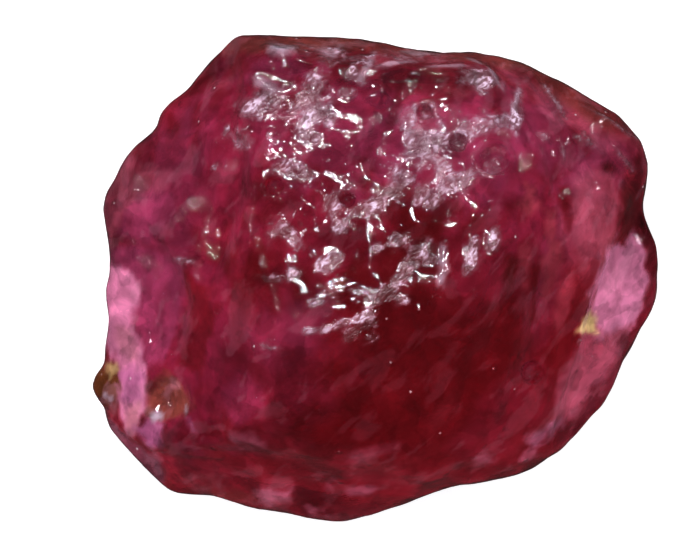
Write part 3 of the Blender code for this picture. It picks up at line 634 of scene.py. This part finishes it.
class Looks:
    """Short names for the shader nodes that the ruby's material is made of."""

    def __init__(self, material):
        """Starts on the material's own nodes."""
        material.use_nodes = True
        self.nodes, self.links = material.node_tree.nodes, material.node_tree.links
        self.place = self.nodes.new("ShaderNodeTexCoord").outputs["Object"]

    def feed(self, socket, value):
        """Gives the socket a value of its own, or another socket's."""
        if isinstance(value, bpy.types.NodeSocket):
            self.links.new(value, socket)
        else:
            socket.default_value = value

    def painted(self, name, output="Fac"):
        """What is stored on the mesh under this name."""
        node = self.nodes.new("ShaderNodeAttribute")
        node.attribute_name = name
        return node.outputs[output]

    def between(self, share, low, high, start=0.0, end=1.0):
        """A number that goes from low to high as the share goes from start to end."""
        node = self.nodes.new("ShaderNodeMapRange")
        set_inputs(node, {"From Min": start, "From Max": end, "To Min": low, "To Max": high})
        self.feed(node.inputs["Value"], share)
        return node.outputs["Result"]

    def maths(self, operation, first, *others):
        """The operation on the first value and the second, then on that result and the third, and so on."""
        for other in others:
            node = self.nodes.new("ShaderNodeMath")
            node.operation = operation
            self.feed(node.inputs[0], first)
            self.feed(node.inputs[1], other)
            first = node.outputs["Value"]
        return first

    def blended(self, share, low, high):
        """A colour that goes from low to high with the share."""
        node = self.nodes.new("ShaderNodeMix")
        node.data_type = "RGBA"
        sockets = {socket.identifier: socket for socket in node.inputs}
        self.feed(sockets["Factor_Float"], share)
        self.feed(sockets["A_Color"], low)
        self.feed(sockets["B_Color"], high)
        return next(socket for socket in node.outputs if socket.identifier == "Result_Color")

    def scaled(self, colour, amount):
        """The colour, made this many times as bright."""
        node = self.nodes.new("ShaderNodeVectorMath")
        node.operation = "SCALE"
        self.feed(node.inputs["Vector"], colour)
        self.feed(node.inputs["Scale"], amount)
        return node.outputs["Vector"]

    def mapped(self, per_mm, turn):
        """The place in the stone, counted in this many steps to a millimetre and turned about Z."""
        node = self.nodes.new("ShaderNodeMapping")
        node.vector_type = "TEXTURE"
        steps = [MM / each for each in per_mm]
        set_inputs(node, {"Scale": steps, "Rotation": (*OBLIQUE_TILT, radians(turn))})
        self.feed(node.inputs["Vector"], self.place)
        return node.outputs["Vector"]

    def noise(self, per_mm, detail, distortion=0.0, turn=0.0, output="Fac"):
        """Soft noise, with this many blotches to a millimetre."""
        node = self.nodes.new("ShaderNodeTexNoise")
        set_inputs(node, {"Scale": 1.0, "Detail": detail, "Distortion": distortion})
        self.feed(node.inputs["Vector"], self.mapped(per_mm, turn))
        return node.outputs[output]

    def frayed(self, place, per_mm, ragged):
        """The place, shifted at random by up to this many steps."""
        node = self.nodes.new("ShaderNodeVectorMath")
        node.operation = "MULTIPLY_ADD"
        self.feed(node.inputs[0], self.noise(per_mm, detail=4.0, output="Color"))
        self.feed(node.inputs[1], (ragged, ragged, ragged))
        self.feed(node.inputs[2], place)
        return node.outputs["Vector"]

    def cells(self, per_mm, turn=0.0, ragged=0.0):
        """Cells side by side: each one's own random value, and the distance from its middle."""
        place = self.mapped(per_mm, turn)
        if ragged:
            place = self.frayed(place, per_mm, ragged)
        node = self.nodes.new("ShaderNodeTexVoronoi")
        set_inputs(node, {"Scale": 1.0})
        self.feed(node.inputs["Vector"], place)
        return node.outputs["Color"], node.outputs["Distance"]


def brightness(looks, clouds, mottles):
    """How many times as bright as its tint the stone is from place to place."""
    shards, _ = looks.cells((0.9, 1.7, 1.3), turn=48, ragged=0.9)
    blots = looks.noise((1.6, 1.6, 1.6), detail=3.0, distortion=0.2, turn=20)
    return looks.maths(
        "MULTIPLY",
        looks.between(clouds, low=0.78, high=1.15, start=0.38, end=0.62),
        looks.between(mottles, low=0.86, high=1.12, start=0.40, end=0.60),
        looks.between(shards, low=0.78, high=1.20),
        looks.between(blots, low=1.0, high=0.74, start=0.56, end=0.60),
    )


def specks_and_glint_dots(looks):
    """Tiny raised specks in about half of the cells of the skin, and a white dot on top of each, which is a
    painted glint.
    """
    chance, away = looks.cells((1.9, 1.9, 1.9))
    kept = looks.between(chance, low=0.0, high=1.0, start=0.45, end=0.50)
    speck = looks.between(away, low=0.9, high=0.0, start=0.0, end=0.20)
    glint_dot = looks.between(away, low=0.8, high=0.0, start=0.02, end=0.08)
    return looks.maths("MULTIPLY", speck, kept), looks.maths("MULTIPLY", glint_dot, kept)


def frost_and_sheen_white(looks, frosted_and_sheen, mottles, wrinkles):
    """How white the frosted patches are painted, most on their crests: partly the frost's own white, partly
    a painted sheen.
    """
    return looks.maths(
        "MULTIPLY",
        looks.between(mottles, low=0.2, high=1.0, start=0.42, end=0.56),
        looks.between(looks.painted("crest"), low=0.25, high=0.90, start=0.25, end=0.70),
        looks.between(wrinkles, low=0.35, high=1.15, start=0.42, end=0.58),
        frosted_and_sheen,
    )


def clearness(looks, clouds, pale, frost_and_sheen_paint, glint_dots):
    """The share of the light that goes straight in: none where painted frost and sheen, or a painted glint,
    covers the skin.
    """
    uneven = looks.between(clouds, low=0.80, high=1.20, start=0.35, end=0.65)
    cloud = looks.maths("MULTIPLY", looks.painted("cloud"), uneven)
    cloud = looks.maths("ADD", cloud, looks.maths("MULTIPLY", pale, STREAK_CLOUD))
    cloud = looks.maths("MAXIMUM", cloud, looks.maths("MULTIPLY", frost_and_sheen_paint, FROST_AND_SHEEN_CLOUD), glint_dots)
    return looks.between(cloud, low=1.0, high=0.0)


def skin_roughness(looks, frosted_and_sheen):
    """Glossy skin, less so on the ridges, and dull where it is frosted and underneath."""
    return looks.maths(
        "MAXIMUM",
        looks.between(frosted_and_sheen, low=GLOSS_ROUGHNESS, high=FROST_ROUGHNESS),
        looks.between(looks.painted("edge"), low=0.0, high=RIDGE_ROUGHNESS),
        looks.between(looks.painted("polish"), low=UNDERSIDE_ROUGHNESS, high=0.0),
    )


def skin_bumps(looks, frosted_and_sheen, wrinkles, specks):
    """The normal of the skin's finest wrinkles and specks."""
    grain = looks.maths("MULTIPLY", wrinkles, looks.between(frosted_and_sheen, low=0.32, high=1.10))
    bump = looks.nodes.new("ShaderNodeBump")
    set_inputs(bump, {"Distance": BUMP_HEIGHT * MM})
    looks.feed(bump.inputs["Height"], looks.maths("ADD", grain, specks))
    return bump.outputs["Normal"]


def ruby_absorption(looks):
    """The red that light takes on inside the stone."""
    node = looks.nodes.new("ShaderNodeVolumeAbsorption")
    set_inputs(node, {"Color": ABSORPTION_COLOUR, "Density": ABSORPTION_DENSITY})
    return node.outputs["Volume"]


def ruby_material():
    """See-through ruby with a thin, cloudy skin that is tinted from place to place."""
    material = bpy.data.materials.new("ruby_look")
    looks = Looks(material)
    shader, output = looks.nodes["Principled BSDF"], looks.nodes["Material Output"]
    set_inputs(shader, {"IOR": RUBY_IOR, "Coat Weight": 1.0, "Coat Roughness": GLOSS_ROUGHNESS})

    frosted_and_sheen = looks.painted("frosted_and_sheen")
    clouds = looks.noise((0.9, 0.9, 0.9), detail=5.0, distortion=0.8)
    mottles = looks.noise((3.0, 3.0, 3.0), detail=4.0, distortion=0.3)
    wrinkles = looks.noise((7.0, 13.0, 10.0), detail=3.0, distortion=0.6, turn=GRAIN_TURN)
    streaks = looks.noise((0.8, 2.2, 1.4), detail=4.0, distortion=0.4, turn=52)
    pale = looks.between(streaks, low=0.0, high=0.11, start=0.54, end=0.60)
    specks, glint_dots = specks_and_glint_dots(looks)
    # Painted sheen: the frosted patches turn lilac-white, most on their crests, partly as frost.
    frost_and_sheen_paint = frost_and_sheen_white(looks, frosted_and_sheen, mottles, wrinkles)

    colour = looks.scaled(looks.painted("tint", "Color"), brightness(looks, clouds, mottles))
    colour = looks.blended(pale, colour, PALE_STREAK)
    colour = looks.blended(frost_and_sheen_paint, colour, LILAC)
    # Painted glints: white dots on the specks.
    colour = looks.blended(glint_dots, colour, GLINT_DOT_WHITE)
    bumps = skin_bumps(looks, frosted_and_sheen, wrinkles, specks)

    looks.feed(shader.inputs["Base Color"], colour)
    looks.feed(shader.inputs["Transmission Weight"], clearness(looks, clouds, pale, frost_and_sheen_paint, glint_dots))
    looks.feed(shader.inputs["Roughness"], skin_roughness(looks, frosted_and_sheen))
    looks.feed(shader.inputs["Normal"], bumps)
    looks.feed(shader.inputs["Coat Normal"], bumps)
    looks.feed(output.inputs["Volume"], ruby_absorption(looks))
    return material


def mirrored(nodes, links):
    """1 where the stone's gloss mirrors the studio, 0 where it is seen straight or through the stone."""
    path = nodes.new("ShaderNodeLightPath")
    less = nodes.new("ShaderNodeMath")
    less.operation = "SUBTRACT"
    less.use_clamp = True
    links.new(path.outputs["Is Glossy Ray"], less.inputs[0])
    links.new(path.outputs["Is Transmission Ray"], less.inputs[1])
    return less.outputs["Value"]


def floor_material():
    """Pale and evenly lit, and dim where the stone's gloss mirrors it."""
    material = bpy.data.materials.new("pale_floor")
    material.use_nodes = True
    nodes, links = material.node_tree.nodes, material.node_tree.links
    set_inputs(nodes["Principled BSDF"], {
        "Base Color": FLOOR_COLOUR,
        "Roughness": 0.9,
        "Specular IOR Level": 0.0,
        "Emission Color": (1, 1, 1, 1),
        "Emission Strength": FLOOR_GLOW,
    })
    dim = nodes.new("ShaderNodeEmission")
    set_inputs(dim, {"Color": (1, 1, 1, 1), "Strength": MIRRORED_STRENGTH})
    choose = nodes.new("ShaderNodeMixShader")
    links.new(mirrored(nodes, links), choose.inputs["Fac"])
    links.new(nodes["Principled BSDF"].outputs["BSDF"], choose.inputs[1])
    links.new(dim.outputs["Emission"], choose.inputs[2])
    links.new(choose.outputs["Shader"], nodes["Material Output"].inputs["Surface"])
    return material


def make_floor():
    """A plane just under the stone."""
    bpy.ops.mesh.primitive_plane_add(size=1.0, location=(0, 0, -FLOOR_DROP * MM))
    floor = bpy.context.object
    floor.name = "floor"
    floor.data.materials.append(floor_material())


def make_light(name, azimuth, tilt, distance, size, watts, colour):
    """A square softbox that faces the stone."""
    light = bpy.data.lights.new(name, "AREA")
    light.size = size * MM
    light.energy = watts
    light.color = colour
    holder = bpy.data.objects.new(name, light)
    a, t = radians(azimuth), radians(tilt)
    way = Vector((cos(a) * sin(t), sin(a) * sin(t), cos(t)))
    holder.location = way * distance * MM
    holder.rotation_euler = (-way).to_track_quat("-Z", "Y").to_euler()
    holder.visible_camera = False
    bpy.context.scene.collection.objects.link(holder)


def make_world():
    """An even, pale sky, dim where the stone's gloss mirrors it."""
    world = bpy.data.worlds.new("studio")
    bpy.context.scene.world = world
    world.use_nodes = True
    nodes, links = world.node_tree.nodes, world.node_tree.links
    strength = nodes.new("ShaderNodeMapRange")
    set_inputs(strength, {"To Min": SKY_STRENGTH, "To Max": MIRRORED_STRENGTH})
    set_inputs(nodes["Background"], {"Color": SKY_COLOUR})
    links.new(mirrored(nodes, links), strength.inputs["Value"])
    links.new(strength.outputs["Result"], nodes["Background"].inputs["Strength"])


def make_camera():
    """A long lens straight above the stone."""
    camera = bpy.data.cameras.new("camera")
    camera.lens = CAMERA_LENS
    camera.sensor_width = SENSOR_WIDTH
    camera.clip_start = CLIP_START * MM
    camera.clip_end = CLIP_END * MM
    distance = IMAGE_WIDTH / PIXELS_PER_MM * CAMERA_LENS / SENSOR_WIDTH
    holder = bpy.data.objects.new("camera", camera)
    holder.location = (AIM[0] * MM, AIM[1] * MM, (RIM_HEIGHT + distance) * MM)
    bpy.context.scene.collection.objects.link(holder)
    bpy.context.scene.camera = holder


def main():
    """Dresses the stone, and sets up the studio."""
    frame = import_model()
    stone = make_stone(frame)
    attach(stone, "root")
    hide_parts(STONE_NODE)
    make_floor()
    for light in LIGHTS:
        make_light(*light)
    make_world()
    make_camera()
    bpy.context.scene.view_settings.view_transform = "Standard"
    bpy.context.view_layer.update()


main()
